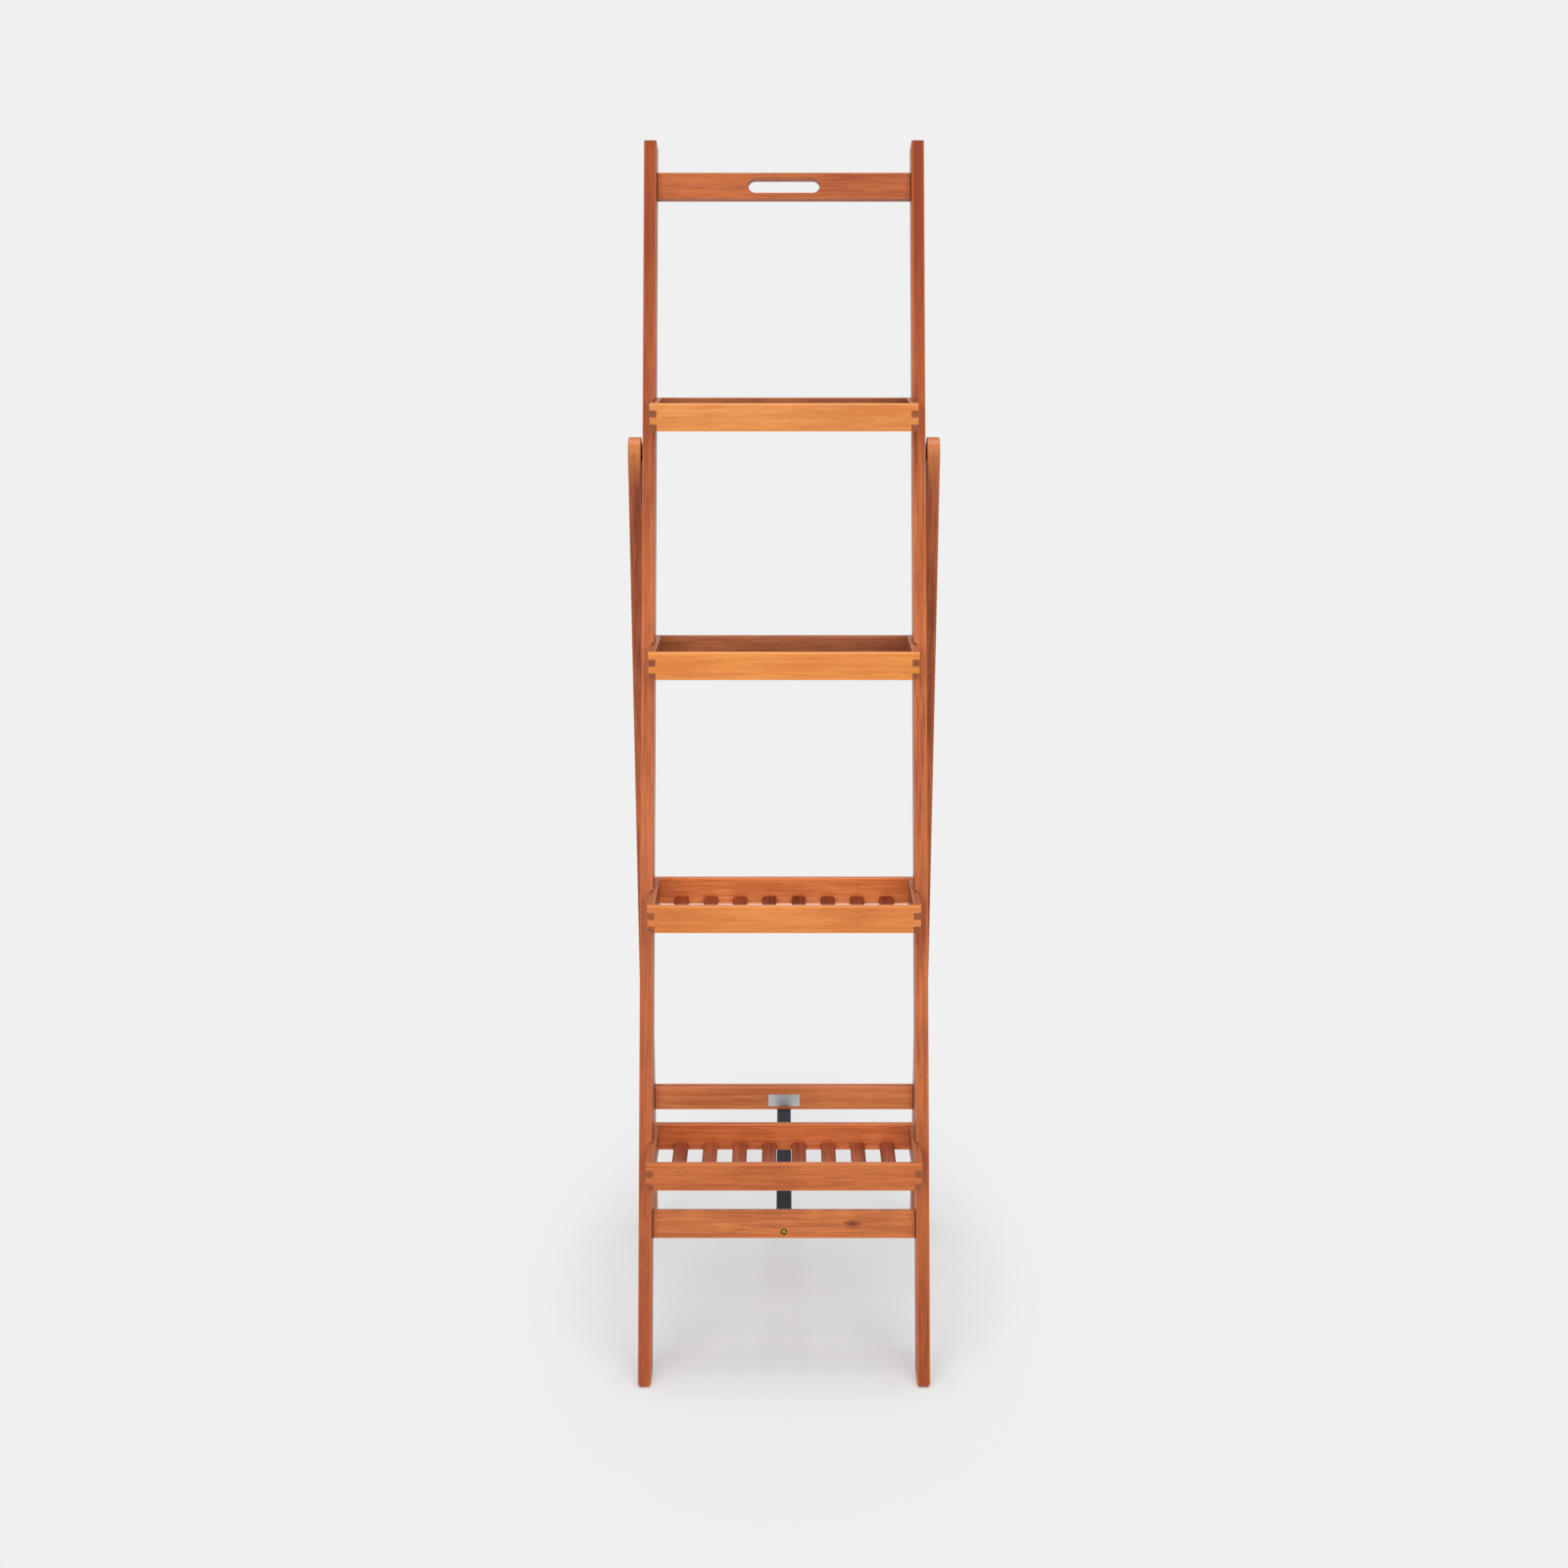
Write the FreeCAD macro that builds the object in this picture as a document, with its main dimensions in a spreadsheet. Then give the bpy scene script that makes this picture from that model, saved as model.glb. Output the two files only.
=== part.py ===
"""Folding tiered shelf in stained hardwood.

A front frame of two stiles, a top rail and a low stretcher leans back. Two rear legs pivot on the outer
faces of the stiles, and a webbing strap between the two low stretchers stops them from opening further.
Four slatted trays slide from the front into level grooves in the inner faces of the stiles.

Millimetres and degrees. X is to the right, Y to the back, Z up. The origin is on the floor, under the
middle of the shelf's bounding box.
"""
import FreeCAD, Part
import math
import os
import re
from FreeCAD import Placement, Rotation, Vector

SIZES = {
    # Front frame
    "lean_angle": 17.6,
    "clear_width": 342,
    "stile_thick": 17,
    "stile_wide": 40,
    "stile_long": 1646,
    "rail_thick": 14,
    "rail_tall": 36,
    "top_rail_drop": 58,
    "front_rail_height": 191.5,
    "tenon_long": 11,
    "tenon_thick": 6,
    "tenon_shoulder": 6,
    "tenon_spare": 1,
    "slot_long": 96,
    "slot_tall": 19,
    # Rear legs
    "leg_angle": 5.1,
    "leg_thick": 17,
    "leg_wide": 40,
    "pivot_height": 1162,
    "rear_rail_height": 213,
    "plate_wide": 46,
    "plate_tall": 19,
    "plate_thick": 0.8,
    "plate_corner": 1.5,
    "plate_drop": 2.5,
    # Trays and their grooves
    "tray_deep": 142,
    "tray_tall": 36,
    "tray_reach": 67,
    "tray_step": 311,
    "lowest_tray_top": 297,
    "tray_play": 0.5,
    "tray_round": 6.5,
    "board_thick": 9.5,
    "finger_count": 4,
    "slat_count": 8,
    "slat_wide": 19,
    "slat_thick": 10,
    "slat_lift": 1,
    "slat_round": 4,
    "slat_tenon": 5,
    "slat_shoulder": 2.5,
    "groove_deep": 5,
    "groove_head": 1.8,
    "groove_round": 4,
    "groove_wall": 0.5,
    # Pivots
    "bolt_radius": 4,
    "bolt_head_radius": 6.5,
    "bolt_head_tall": 4.5,
    "bolt_recess": 6,
    "bolt_socket_radius": 2.9,
    "bolt_socket_deep": 2.5,
    "nut_sleeve_radius": 5,
    "nut_sleeve_long": 11,
    "nut_flange_radius": 7,
    "nut_flange_tall": 2,
    "spacer_radius": 11.5,
    "spacer_gap": 2.5,
    # Strap and what holds it
    "strap_wide": 20,
    "strap_thick": 1.5,
    "strap_tail": 1.5,
    "strap_rear_end": 9,
    "strap_bend": 2.5,
    "insert_radius": 4.2,
    "insert_long": 9,
    "insert_recess": 0.6,
    "insert_spare": 2,
    "strap_bolt_drop": 9.9,
    "strap_bolt_radius": 2.5,
    "strap_head_radius": 4.5,
    "strap_head_tall": 2.8,
    "strap_socket_radius": 1.7,
    "strap_socket_deep": 1.5,
    "washer_radius": 6.5,
    "washer_thick": 1.2,
    "screw_drop": 4,
    "screw_radius": 2,
    "screw_long": 10,
    # Feet, edges and clearances
    "foot_chamfer": 3.2,
    "glide_radius": 5.3,
    "glide_tall": 2,
    "nail_radius": 1.2,
    "nail_long": 12,
    "arris": 1.5,
    "run_play": 0.05,
    "side_play": 0.3,
    "overrun": 5,
}

TRAY_NAMES = ("bottom_tray", "lower_tray", "upper_tray", "top_tray")
SIDES = {"left": -1, "right": 1}
SQUARE_TURN = 90
SOCKET_SIDES = 6
TOUCH = 1e-6

doc = FreeCAD.newDocument("folding_shelf")
sheet = doc.addObject("Spreadsheet::Sheet", "sizes")
for row, (alias, number) in enumerate(SIZES.items(), start=1):
    sheet.set(f"A{row}", alias)
    sheet.set(f"B{row}", str(number))
    sheet.setAlias(f"B{row}", alias)
doc.recompute()

nodes = []


def size(name):
    """The sheet's value of one size."""
    return float(sheet.get(name))


def bind(feature, **formulas):
    """Tie properties of a feature to formulas of the sheet's sizes."""
    for name, formula in formulas.items():
        feature.setExpression(name, re.sub(r"[a-z_]+", cell_of, formula))


def cell_of(word):
    """A size's name in a formula, as a reference to its cell; any other word as it is."""
    return f"sizes.{word[0]}" if word[0] in SIZES else word[0]


def about(axis, angle):
    """Turn about the X, Y or Z axis."""
    return Rotation(Vector(*(float(letter == axis) for letter in "XYZ")), angle)


# Places that several pieces share
lean = about("X", -size("lean_angle"))
splay = about("X", size("leg_angle"))
to_back = about("X", -SQUARE_TURN)
to_front = about("X", SQUARE_TURN)

lean_tan = math.tan(math.radians(size("lean_angle")))
lean_sin = math.sin(math.radians(size("lean_angle")))
lean_cos = math.cos(math.radians(size("lean_angle")))
splay_tan = math.tan(math.radians(size("leg_angle")))
splay_cos = math.cos(math.radians(size("leg_angle")))

stile_inner = size("clear_width") / 2
stile_outer = stile_inner + size("stile_thick")
leg_inner = stile_outer + size("spacer_gap")
leg_outer = leg_inner + size("leg_thick")
tray_half = stile_inner + size("groove_deep") - size("tray_play")
tray_inside = tray_half - size("board_thick")
finger_tall = size("tray_tall") / size("finger_count")
tenon_tall = size("rail_tall") - 2 * size("tenon_shoulder")

# The front edge of a stile meets the floor at front_line, which puts Y zero halfway through the depth.
foot_front = size("glide_tall") * lean_tan
top_back = (size("stile_wide") - size("arris")) * lean_cos
top_back += (size("stile_long") - size("arris")) * lean_sin + size("arris")
front_line = -(foot_front + top_back) / 2
stile_level = size("stile_wide") / lean_cos

# Heights of the rails' middles on the stiles' centre lines. The top rail hangs from the stiles' ends.
top_rail_height = (size("stile_long") - size("top_rail_drop")) * lean_cos - size("stile_wide") / 2 * lean_sin
front_rails = {"top_rail": top_rail_height, "front_rail": size("front_rail_height")}


def front_edge(height):
    """Y of the stiles' front edges at a height."""
    return front_line + height * lean_tan


def on_stile(height):
    """Place on the stiles' centre line at a height, turned with their lean."""
    return Placement(Vector(0, front_edge(height) + stile_level / 2, height), lean)


pivot = on_stile(size("pivot_height")).Base


def on_leg(height):
    """Place on the rear legs' centre line at a height, turned with their splay."""
    return Placement(Vector(0, pivot.y + (pivot.z - height) * splay_tan, height), splay)


def outward(side):
    """Turn that points a piece's Z away from the middle of the shelf."""
    return about("Y", side * SQUARE_TURN)


def new_body(label, place):
    """Empty sub-part with its label and its place."""
    body = doc.addObject("PartDesign::Body", label)
    body.Label = label
    body.Placement = place
    nodes.append(body)
    return body


def add(body, kind, name, place, **formulas):
    """Add one feature of a kind to a body and tie its sizes."""
    feature = body.newObject(f"PartDesign::{kind}", f"{body.Name}_{name}")
    bind(feature, **formulas)
    feature.Placement = place
    body.Tip = feature
    return feature


def box(body, name, corner, turn=Rotation(), cut=False, **formulas):
    """Block, or with cut a block-shaped recess, from its corner."""
    kind = "SubtractiveBox" if cut else "AdditiveBox"
    return add(body, kind, name, Placement(corner, turn), **formulas)


def rod(body, name, end, turn, radius, length, cut=False):
    """Cylinder, or with cut a bore, from the middle of its end along the turned Z."""
    kind = "SubtractiveCylinder" if cut else "AdditiveCylinder"
    return add(body, kind, name, Placement(end, turn), Radius=radius, Height=length)


def hex_socket(body, name, end, turn, radius, depth):
    """Hexagonal recess from the middle of its floor along the turned Z."""
    socket = add(body, "SubtractivePrism", name, Placement(end, turn), Circumradius=radius, Height=depth)
    socket.Polygon = SOCKET_SIDES


def dress(body, kind, name, chosen, **formulas):
    """Fillet or Chamfer on those edges of the body so far whose bounding boxes are chosen."""
    doc.recompute()
    base = body.Tip
    edges = enumerate(base.Shape.Edges, start=1)
    picked = [f"Edge{number}" for number, edge in edges if chosen(edge.BoundBox)]
    feature = body.newObject(f"PartDesign::{kind}", f"{body.Name}_{name}")
    feature.Base = (base, picked)
    bind(feature, **formulas)
    body.Tip = feature


def near(value, target):
    return abs(value - target) < TOUCH


def in_plane(low, high, value):
    """Whether an extent from low to high lies in the plane at a value."""
    return near(low, value) and near(high, value)


def repeat_in_row(body, name, count, length):
    """Repeat the whole body along X, with the last copy at a length from the first."""
    doc.recompute()
    row = body.newObject("PartDesign::LinearPattern", f"{body.Name}_{name}")
    axes = [axis for axis in body.Origin.OriginFeatures if axis.Role == "X_Axis"]
    row.Direction = (axes[0], [""])
    row.TransformMode = "Whole shape"
    bind(row, Length=length, Occurrences=count)
    body.Tip = row


# Feet


def shape_foot(body, thick, wide, low_x, floor, middle):
    """Cut a slanting board level above its glide, chamfer its side edges there and drill for the nail."""
    reach = 2 * size(wide)
    corner = Vector(low_x - size("overrun"), middle - reach, floor - reach)
    box(body, "foot_cut", corner, cut=True, Length=f"{thick} + 2 * overrun",
        Width=f"4 * {wide}", Height=f"2 * {wide}")
    for name, side in SIDES.items():
        turn = about("Y", side * SQUARE_TURN / 2)
        face = low_x + (size(thick) if side > 0 else 0)
        start = Vector(face - side * size("foot_chamfer"), middle - reach, floor)
        shift = Vector(min(0, side * size("foot_chamfer")), 0, -size("overrun"))
        box(body, f"foot_chamfer_{name}", start + turn.multVec(shift), turn, cut=True,
            Length="foot_chamfer", Width=f"4 * {wide}", Height="2 * foot_chamfer + 2 * overrun")
    end = Vector(low_x + size(thick) / 2, middle, floor - size("overrun"))
    rod(body, "nail_hole", end, Rotation(), "nail_radius + run_play", "nail_long + overrun", cut=True)


def make_glide(label, x, y):
    """Plastic glide on a nail, under the middle of a foot."""
    body = new_body(label, Placement(Vector(x, y, 0), Rotation()))
    rod(body, "disc", Vector(), Rotation(), "glide_radius", "glide_tall")
    rod(body, "nail", Vector(), Rotation(), "nail_radius", "glide_tall + nail_long")


# Front frame


def tray_top(number):
    """Height of a tray's upper edge, counted from the lowest tray."""
    return size("lowest_tray_top") + number * size("tray_step")


def cut_mortise(body, name, place, side):
    """Mortise from a board's inner face, for the tenon of a rail at a place."""
    depth = size("tenon_long") + size("tenon_spare")
    x = -size("overrun") if side > 0 else -depth
    corner = place.Base + place.Rotation.multVec(Vector(0, -size("tenon_thick") / 2, -tenon_tall / 2))
    corner.x = x
    box(body, name, corner, place.Rotation, cut=True, Length="tenon_long + tenon_spare + overrun",
        Width="tenon_thick", Height="rail_tall - 2 * tenon_shoulder")


GROOVE_ROUND = "min(groove_round; groove_deep - groove_wall)"
GROOVE_LONG = "(stile_wide / cos(lean_angle) + (tray_tall + groove_head) * tan(lean_angle) + 2 * overrun)"


def cut_groove(body, name, bottom, side):
    """Level groove across a stile's inner face for a tray, with round inner corners."""
    deep = size("groove_deep")
    tall = size("tray_tall") + size("groove_head")
    corner = min(size("groove_round"), deep - size("groove_wall"))
    start = bottom * lean_tan - size("overrun")
    mouth = Vector(-size("overrun") if side > 0 else corner - deep, start, bottom)
    box(body, f"{name}_mouth", mouth, cut=True, Length=f"groove_deep - {GROOVE_ROUND} + overrun",
        Width=GROOVE_LONG, Height="tray_tall + groove_head")
    back = Vector(-size("overrun") if side > 0 else -deep, start, bottom + corner)
    box(body, f"{name}_back", back, cut=True, Length="groove_deep + overrun",
        Width=GROOVE_LONG, Height=f"tray_tall + groove_head - 2 * {GROOVE_ROUND}")
    for level, z in (("low", bottom + corner), ("high", bottom + tall - corner)):
        end = Vector(side * (deep - corner), start, z)
        rod(body, f"{name}_{level}_corner", end, to_back, GROOVE_ROUND, GROOVE_LONG, cut=True)


def make_stile(label, side):
    """Leaning board with grooves for the trays, mortises for the rails and the bore of the pivot."""
    home = Vector(side * stile_inner, front_line, 0)
    body = new_body(label, Placement(home, Rotation()))
    low_x = min(0, side * size("stile_thick"))
    box(body, "board", Vector(low_x, 0, 0), lean,
        Length="stile_thick", Width="stile_wide", Height="stile_long")
    dress(body, "Fillet", "arris", lambda edge: True, Radius="arris")
    shape_foot(body, "stile_thick", "stile_wide", low_x, size("glide_tall"), foot_front + stile_level / 2)

    for number, tray in enumerate(TRAY_NAMES):
        cut_groove(body, f"{tray}_groove", tray_top(number) - size("tray_tall"), side)

    for rail, height in front_rails.items():
        place = on_stile(height)
        place.Base -= home
        cut_mortise(body, f"{rail}_mortise", place, side)

    start = Vector(-side * size("overrun"), pivot.y - home.y, pivot.z)
    turn = outward(side)
    rod(body, "bolt_bore", start, turn, "bolt_radius + run_play", "stile_thick + 2 * overrun", cut=True)
    rod(body, "nut_bore", start, turn, "nut_sleeve_radius + run_play", "nut_sleeve_long + overrun", cut=True)
    rod(body, "flange_seat", start, turn, "nut_flange_radius + run_play", "nut_flange_tall + overrun",
        cut=True)


def make_rail(label, place, length, half):
    """Rail between two uprights, with eased edges and a tenon at each end."""
    body = new_body(label, place)
    deep = size("rail_thick") / 2
    tall = size("rail_tall") / 2
    box(body, "board", Vector(-half, -deep, -tall), Length=length, Width="rail_thick", Height="rail_tall")
    dress(body, "Fillet", "arris", lambda edge: edge.XLength > half, Radius="arris")
    corner = Vector(-half - size("tenon_long"), -size("tenon_thick") / 2, -tenon_tall / 2)
    box(body, "tenons", corner, Length=f"{length} + 2 * tenon_long",
        Width="tenon_thick", Height="rail_tall - 2 * tenon_shoulder")
    return body


def cut_hand_slot(body):
    """Slot with full-round ends through the middle of the top rail, its rims eased."""
    deep = size("rail_thick") / 2 + size("overrun")
    tall = size("slot_tall") / 2
    straight = size("slot_long") / 2 - tall
    box(body, "slot", Vector(-straight, -deep, -tall), cut=True, Length="slot_long - slot_tall",
        Width="rail_thick + 2 * overrun", Height="slot_tall")
    for end in SIDES.values():
        start = Vector(end * straight, -deep, 0)
        rod(body, f"slot_end_{end + 1}", start, to_back, "slot_tall / 2", "rail_thick + 2 * overrun",
            cut=True)

    def slot_rim(edge):
        face = size("rail_thick") / 2
        on_faces = any(in_plane(edge.YMin, edge.YMax, y) for y in (-face, face))
        level = edge.ZMax < tall + TOUCH and edge.ZMin > -tall - TOUCH
        return on_faces and level and edge.XLength < size("slot_long")

    dress(body, "Fillet", "slot_arris", slot_rim, Radius="arris")


def make_front_frame():
    for name, side in SIDES.items():
        make_stile(f"{name}_stile", side)
        x = side * (stile_inner + size("stile_thick") / 2)
        make_glide(f"{name}_front_glide", x, front_line + foot_front + stile_level / 2)
    top_rail = make_rail("top_rail", on_stile(front_rails["top_rail"]), "clear_width", stile_inner)
    cut_hand_slot(top_rail)
    stretcher = make_rail("front_stretcher", on_stile(front_rails["front_rail"]), "clear_width", stile_inner)
    start = Vector(0, -size("rail_thick") / 2 - size("overrun"), -size("strap_bolt_drop"))
    rod(stretcher, "bolt_bore", start, to_back, "strap_bolt_radius + run_play",
        "rail_thick + 2 * overrun", cut=True)
    rod(stretcher, "insert_bore", start, to_back, "insert_radius + run_play",
        "overrun + insert_recess + insert_long", cut=True)


# Pivots


def make_pivot(name, side):
    """Bolt from the leg's outer face, its sleeve nut in the stile and the spacer between the two boards."""
    turn = outward(side)
    seat = leg_outer - size("bolt_recess") + size("side_play")
    bolt = new_body(f"{name}_pivot_bolt", Placement(Vector(side * seat, pivot.y, pivot.z), turn))
    shank = seat - stile_inner - size("nut_flange_tall")
    rod(bolt, "head", Vector(), Rotation(), "bolt_head_radius", "bolt_head_tall")
    rod(bolt, "shank", Vector(0, 0, -shank), Rotation(), "bolt_radius",
        "leg_thick - bolt_recess + side_play + spacer_gap + stile_thick - nut_flange_tall")
    floor = Vector(0, 0, size("bolt_head_tall") - size("bolt_socket_deep"))
    hex_socket(bolt, "socket", floor, Rotation(), "bolt_socket_radius", "bolt_socket_deep + overrun")

    nut = new_body(f"{name}_sleeve_nut", Placement(Vector(side * stile_inner, pivot.y, pivot.z), turn))
    rod(nut, "flange", Vector(), Rotation(), "nut_flange_radius", "nut_flange_tall")
    rod(nut, "sleeve", Vector(), Rotation(), "nut_sleeve_radius", "nut_sleeve_long")
    rod(nut, "bore", Vector(0, 0, -size("overrun")), Rotation(), "bolt_radius + run_play",
        "nut_sleeve_long + 2 * overrun", cut=True)

    spacer = new_body(f"{name}_spacer", Placement(Vector(side * stile_outer, pivot.y, pivot.z), turn))
    rod(spacer, "ring", Vector(), Rotation(), "spacer_radius", "spacer_gap - side_play")
    rod(spacer, "bore", Vector(0, 0, -size("overrun")), Rotation(), "bolt_radius + run_play",
        "spacer_gap + 2 * overrun", cut=True)


# Rear legs


def make_leg(label, side):
    """Splayed board with a round top, the bore of the pivot and a mortise for the rear stretcher."""
    home = Vector(side * leg_inner, pivot.y, pivot.z)
    body = new_body(label, Placement(home, Rotation()))
    low_x = min(0, side * size("leg_thick"))
    reach = size("pivot_height") / splay_cos + size("leg_wide")
    corner = splay.multVec(Vector(0, -size("leg_wide") / 2, -reach)) + Vector(low_x, 0, 0)
    box(body, "board", corner, splay, Length="leg_thick", Width="leg_wide",
        Height="pivot_height / cos(leg_angle) + leg_wide")
    rod(body, "round_top", Vector(low_x, 0, 0), outward(1), "leg_wide / 2", "leg_thick")
    faces = (low_x, low_x + size("leg_thick"))
    dress(body, "Fillet", "arris", lambda edge: any(in_plane(edge.XMin, edge.XMax, face) for face in faces),
          Radius="arris")
    floor = size("glide_tall") - pivot.z
    shape_foot(body, "leg_thick", "leg_wide", low_x, floor, -floor * splay_tan)

    place = on_leg(size("rear_rail_height"))
    place.Base -= home
    cut_mortise(body, "stretcher_mortise", place, side)
    start = Vector(-side * size("overrun"), 0, 0)
    turn = outward(side)
    rod(body, "bolt_bore", start, turn, "bolt_radius + run_play", "leg_thick + 2 * overrun", cut=True)
    floor = Vector(side * (size("leg_thick") - size("bolt_recess")), 0, 0)
    rod(body, "head_recess", floor, turn, "bolt_head_radius + side_play", "bolt_recess + overrun", cut=True)


def make_plate(place):
    """Small bare metal plate on the front of the rear stretcher."""
    body = new_body("metal_plate", place)
    face = -size("rail_thick") / 2 - size("plate_thick")
    corner = Vector(-size("plate_wide") / 2, face, -size("plate_drop") - size("plate_tall") / 2)
    box(body, "sheet", corner, Length="plate_wide", Width="plate_thick", Height="plate_tall")
    dress(body, "Fillet", "corners", lambda edge: in_plane(edge.XLength, edge.ZLength, 0),
          Radius="plate_corner")


def make_rear_legs():
    for name, side in SIDES.items():
        make_leg(f"{name}_rear_leg", side)
        foot = on_leg(size("glide_tall")).Base
        make_glide(f"{name}_rear_glide", side * (leg_inner + size("leg_thick") / 2), foot.y)
    place = on_leg(size("rear_rail_height"))
    length = "clear_width + 2 * stile_thick + 2 * spacer_gap"
    stretcher = make_rail("rear_stretcher", place, length, leg_inner)
    end = Vector(0, size("rail_thick") / 2 + size("overrun"), -size("screw_drop"))
    rod(stretcher, "screw_bore", end, to_front, "screw_radius + run_play", "overrun + screw_long", cut=True)
    make_plate(place)


# Strap


def ribbon_outline(points, thick):
    """Closed outline of a ribbon of one thickness along points in the YZ plane."""
    left = []
    right = []
    for number, point in enumerate(points):
        before = points[max(number - 1, 0)]
        after = points[min(number + 1, len(points) - 1)]
        runs = [run.normalize() for run in (point - before, after - point) if run.Length > TOUCH]
        normals = [Vector(0, -run.z, run.y) for run in runs]
        middle = (normals[0] + normals[-1]).normalize()
        offset = middle * (thick / 2 / middle.dot(normals[0]))
        left.append(point + offset)
        right.append(point - offset)
    return left + right[::-1]


def make_strap():
    """Webbing from behind the rear stretcher, under it and taut to the back of the front stretcher."""
    thick = size("strap_thick")
    face = size("rail_thick") / 2
    under = -size("rail_tall") / 2
    rear = on_leg(size("rear_rail_height"))
    front = on_stile(size("front_rail_height"))
    rear_face = face + size("side_play") + thick / 2
    rear_under = under - size("side_play") - thick / 2
    leaving = size("washer_radius") + size("strap_bend") - size("strap_bolt_drop")
    points = [
        rear.multVec(Vector(0, rear_face, size("strap_rear_end") - size("screw_drop"))),
        rear.multVec(Vector(0, rear_face, rear_under)),
        rear.multVec(Vector(0, -face, rear_under)),
        front.multVec(Vector(0, face + thick / 2, leaving)),
        front.multVec(Vector(0, face + thick / 2, under - size("strap_tail"))),
    ]
    outline = ribbon_outline(points, thick)
    body = new_body("strap", Placement())
    sketch = body.newObject("Sketcher::SketchObject", "strap_side")
    planes = [plane for plane in body.Origin.OriginFeatures if plane.Role == "YZ_Plane"]
    sketch.AttachmentSupport = (planes[0], [""])
    sketch.MapMode = "FlatFace"
    for start, end in zip(outline, outline[1:] + outline[:1]):
        sketch.addGeometry(Part.LineSegment(Vector(start.y, start.z, 0), Vector(end.y, end.z, 0)))
    pad = body.newObject("PartDesign::Pad", "strap_pad")
    pad.Profile = sketch
    pad.SideType = "Symmetric"
    bind(pad, Length="strap_wide")
    body.Tip = pad
    reach = size("overrun")
    bolt = front.multVec(Vector(0, face - reach, -size("strap_bolt_drop")))
    rod(body, "bolt_hole", bolt, lean.multiply(to_back), "strap_bolt_radius + side_play",
        "strap_thick + 2 * overrun", cut=True)
    screw = rear.multVec(Vector(0, face - reach, -size("screw_drop")))
    rod(body, "screw_hole", screw, splay.multiply(to_back), "screw_radius + side_play",
        "strap_thick + 2 * overrun", cut=True)


def make_fastener(label, place, radius, length, total):
    """Round-headed fastener with a hexagonal socket: place is under its head, and Z points to the head."""
    body = new_body(label, place)
    rod(body, "head", Vector(), Rotation(), "strap_head_radius", "strap_head_tall")
    rod(body, "shank", Vector(0, 0, -total), Rotation(), radius, length)
    floor = Vector(0, 0, size("strap_head_tall") - size("strap_socket_deep"))
    hex_socket(body, "socket", floor, Rotation(), "strap_socket_radius", "strap_socket_deep + overrun")


def make_washer(label, place, radius):
    body = new_body(label, place)
    rod(body, "ring", Vector(0, 0, -size("washer_thick")), Rotation(), "washer_radius", "washer_thick")
    start = Vector(0, 0, -size("washer_thick") - size("overrun"))
    rod(body, "bore", start, Rotation(), f"{radius} + run_play", "washer_thick + 2 * overrun", cut=True)


def make_strap_fasteners():
    face = size("rail_thick") / 2
    front = on_stile(size("front_rail_height"))
    insert_end = Vector(0, size("insert_recess") - face, -size("strap_bolt_drop"))
    insert = new_body("strap_insert", front * Placement(insert_end, to_back))
    rod(insert, "sleeve", Vector(), Rotation(), "insert_radius", "insert_long")
    rod(insert, "bore", Vector(0, 0, -size("overrun")), Rotation(), "strap_bolt_radius + run_play",
        "insert_long + 2 * overrun", cut=True)

    behind = face + size("strap_thick") + size("washer_thick")
    head = front * Placement(Vector(0, behind, -size("strap_bolt_drop")), to_back)
    total = behind + face - size("insert_recess") - size("insert_spare")
    make_fastener("strap_bolt", head, "strap_bolt_radius",
                  "rail_thick + strap_thick + washer_thick - insert_recess - insert_spare", total)
    make_washer("strap_front_washer", head, "strap_bolt_radius")

    behind += 2 * size("side_play")
    head = on_leg(size("rear_rail_height")) * Placement(Vector(0, behind, -size("screw_drop")), to_back)
    total = behind - face + size("screw_long")
    make_fastener("strap_screw", head, "screw_radius",
                  "screw_long + strap_thick + washer_thick + 2 * side_play", total)
    make_washer("strap_rear_washer", head, "screw_radius")


# Trays

TRAY_WIDE = "(clear_width + 2 * groove_deep - 2 * tray_play)"
TRAY_INSIDE = f"({TRAY_WIDE} - 2 * board_thick)"
SLAT_GAP = f"(({TRAY_INSIDE} - slat_count * slat_wide) / (slat_count + 1))"


def cut_fingers(body, parity, corners):
    """Cut every other finger, counted from the top, out of a board at the low corners of its ends."""
    for end, (x, y) in enumerate(corners):
        for level in range(parity, int(size("finger_count")), 2):
            z = size("tray_tall") - (level + 1) * finger_tall
            box(body, f"finger_{end}_{level}", Vector(x, y, z), cut=True, Length="board_thick",
                Width="board_thick", Height="tray_tall / finger_count")


def make_long_board(label, place, facing):
    """Front or back board of a tray, with fingers at its ends and mortises for the slats."""
    body = new_body(label, place)
    thick = size("board_thick")
    deep = size("tray_deep") / 2
    outer = facing * deep
    low_y = min(outer, outer - facing * thick)
    box(body, "board", Vector(-tray_half, low_y, 0), Length=TRAY_WIDE, Width="board_thick",
        Height="tray_tall")

    def outside(edge):
        upright = in_plane(edge.XLength, edge.YLength, 0)
        if upright:
            return near(edge.YMin, outer)
        return edge.XLength > TOUCH or edge.ZMin > finger_tall

    dress(body, "Fillet", "arris", outside, Radius="arris")
    cut_fingers(body, 1, [(-tray_half, low_y), (tray_half - thick, low_y)])

    gap = (2 * tray_inside - size("slat_count") * size("slat_wide")) / (size("slat_count") + 1)
    inner = outer - facing * thick
    mortise_y = min(inner, inner + facing * size("slat_tenon"))
    z = size("slat_lift") + size("slat_shoulder")
    for number in range(int(size("slat_count"))):
        x = -tray_inside + gap + number * (gap + size("slat_wide")) + size("slat_shoulder")
        box(body, f"mortise_{number}", Vector(x, mortise_y, z), cut=True,
            Length="slat_wide - 2 * slat_shoulder", Width="slat_tenon",
            Height="slat_thick - 2 * slat_shoulder")


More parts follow.
